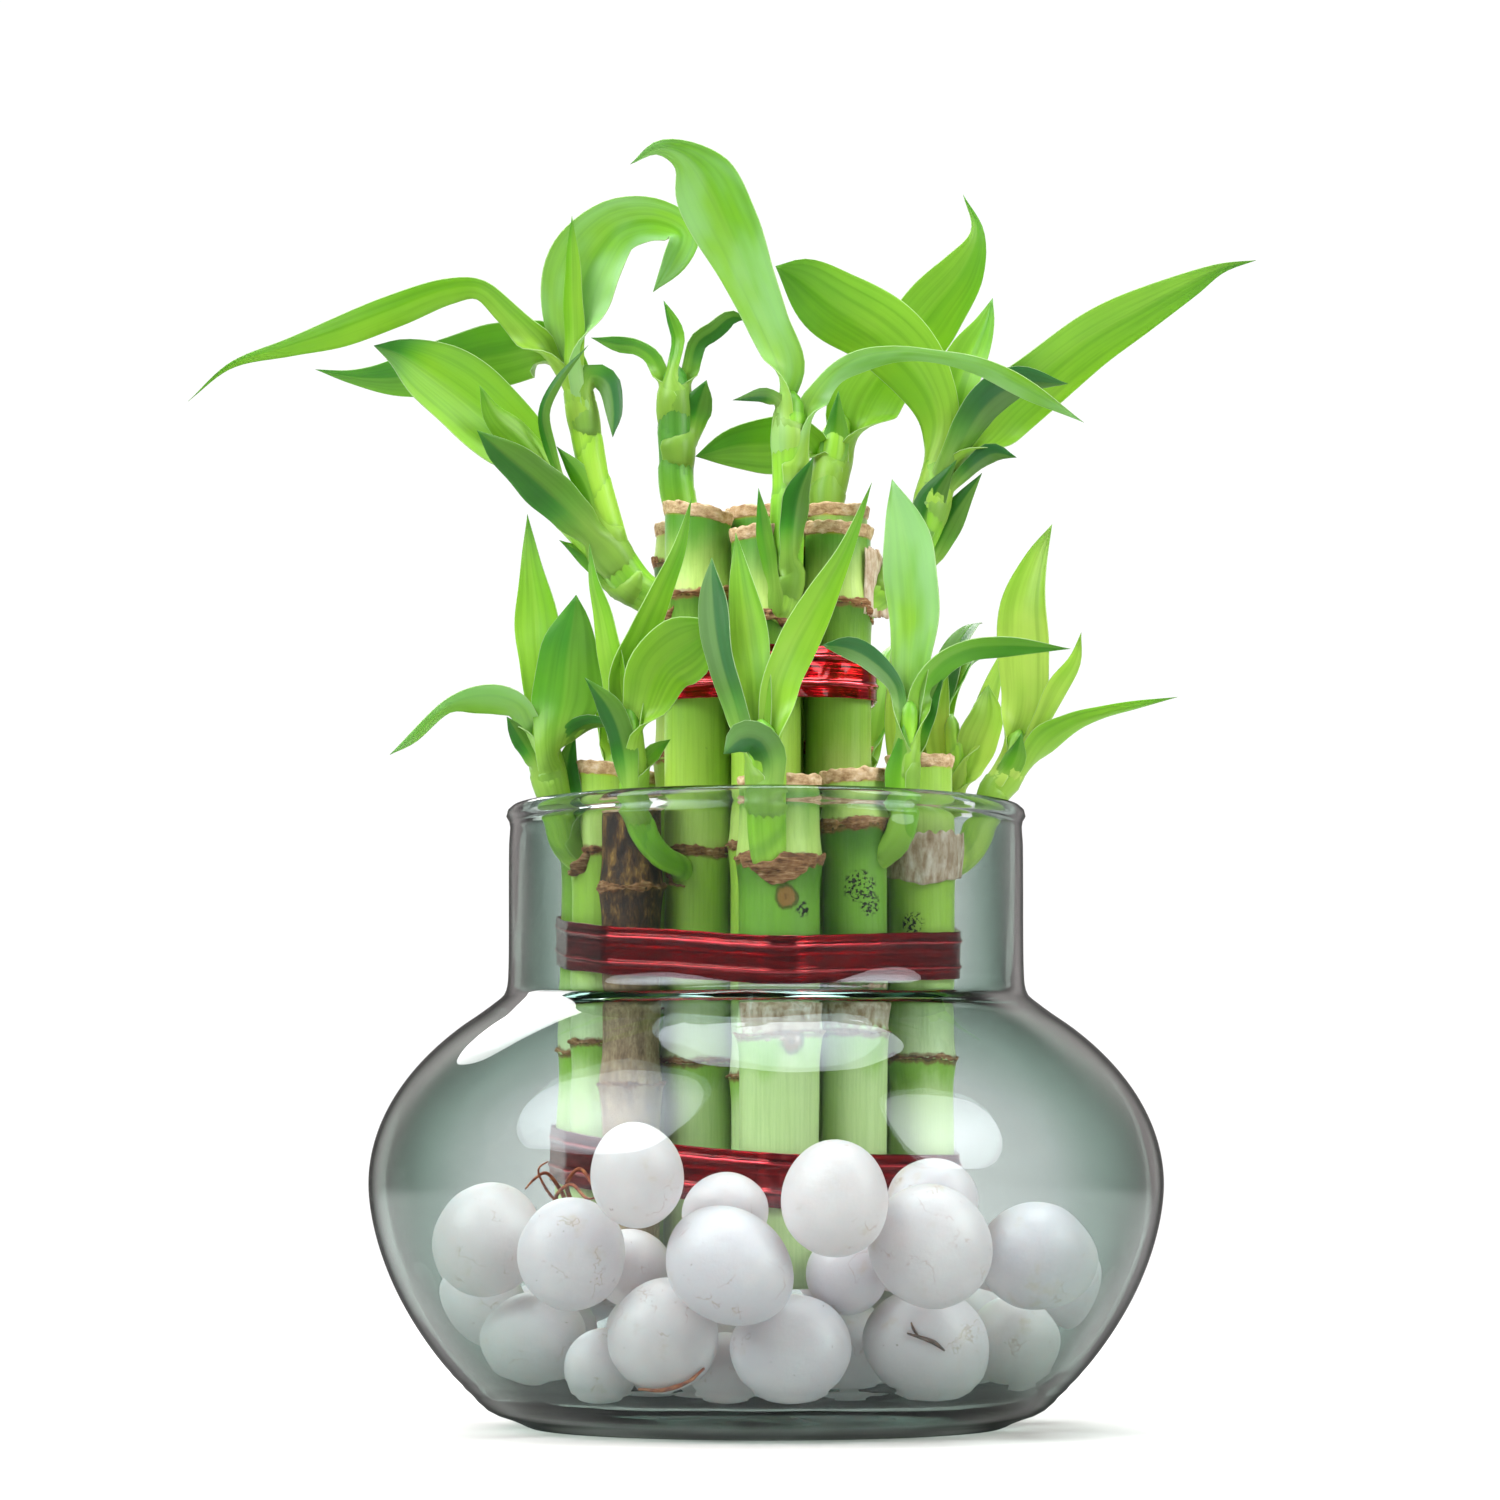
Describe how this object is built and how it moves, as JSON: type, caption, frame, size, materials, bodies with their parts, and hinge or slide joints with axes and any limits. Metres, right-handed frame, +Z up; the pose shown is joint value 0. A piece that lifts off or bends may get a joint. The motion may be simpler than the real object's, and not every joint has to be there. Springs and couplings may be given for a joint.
{
  "type": "lucky bamboo",
  "caption": "Lucky bamboo: two tiers of cut canes tied with red foil ribbon, with leafy shoots, standing on white pebbles in a squat clear glass bowl with a straight neck.",
  "frame": {"origin": "middle of the bowl's foot, where it rests", "axes": "+Z up along the canes, -Y toward the front of the plant, +X to its right as seen from the front"},
  "size_m": [0.1999, 0.148, 0.2371],
  "materials": {
    "glass": "clear, slightly grey-green",
    "cane": "satin green stem and leaf",
    "dead_cane": "dull brown",
    "foil": "metallised red film",
    "pebble": "polished milky white"
  },
  "bodies": {
    "root": {"glass_bowl": "glass", "cane_tall_00": "cane", "cane_tall_01": "cane", "cane_tall_02": "cane", "cane_tall_03": "cane", "cane_tall_04": "cane", "cane_tall_05": "cane", "cane_tall_06": "cane", "cane_short_00": "cane", "cane_short_01": "cane", "cane_short_02": "dead_cane", "cane_short_03": "cane", "cane_short_04": "cane", "cane_short_05": "cane", "cane_short_06": "cane", "cane_short_07": "cane", "cane_short_08": "cane", "cane_short_09": "cane", "cane_short_10": "cane", "cane_short_11": "cane", "ribbon_upper": "foil", "ribbon_middle": "foil", "ribbon_lower": "foil", "pebble_00": "pebble", "pebble_01": "pebble", "pebble_02": "pebble", "pebble_03": "pebble", "pebble_04": "pebble", "pebble_05": "pebble", "pebble_06": "pebble", "pebble_07": "pebble", "pebble_08": "pebble", "pebble_09": "pebble", "pebble_10": "pebble", "pebble_11": "pebble", "pebble_12": "pebble", "pebble_13": "pebble", "pebble_14": "pebble", "pebble_15": "pebble", "pebble_16": "pebble", "pebble_17": "pebble", "pebble_18": "pebble", "pebble_19": "pebble", "pebble_20": "pebble", "pebble_21": "pebble", "pebble_22": "pebble", "pebble_23": "pebble", "pebble_24": "pebble", "pebble_25": "pebble", "pebble_26": "pebble", "pebble_27": "pebble", "pebble_28": "pebble", "pebble_29": "pebble", "pebble_30": "pebble", "pebble_31": "pebble", "pebble_32": "pebble", "pebble_33": "pebble", "pebble_34": "pebble", "pebble_35": "pebble"}
  },
  "joints": []
}
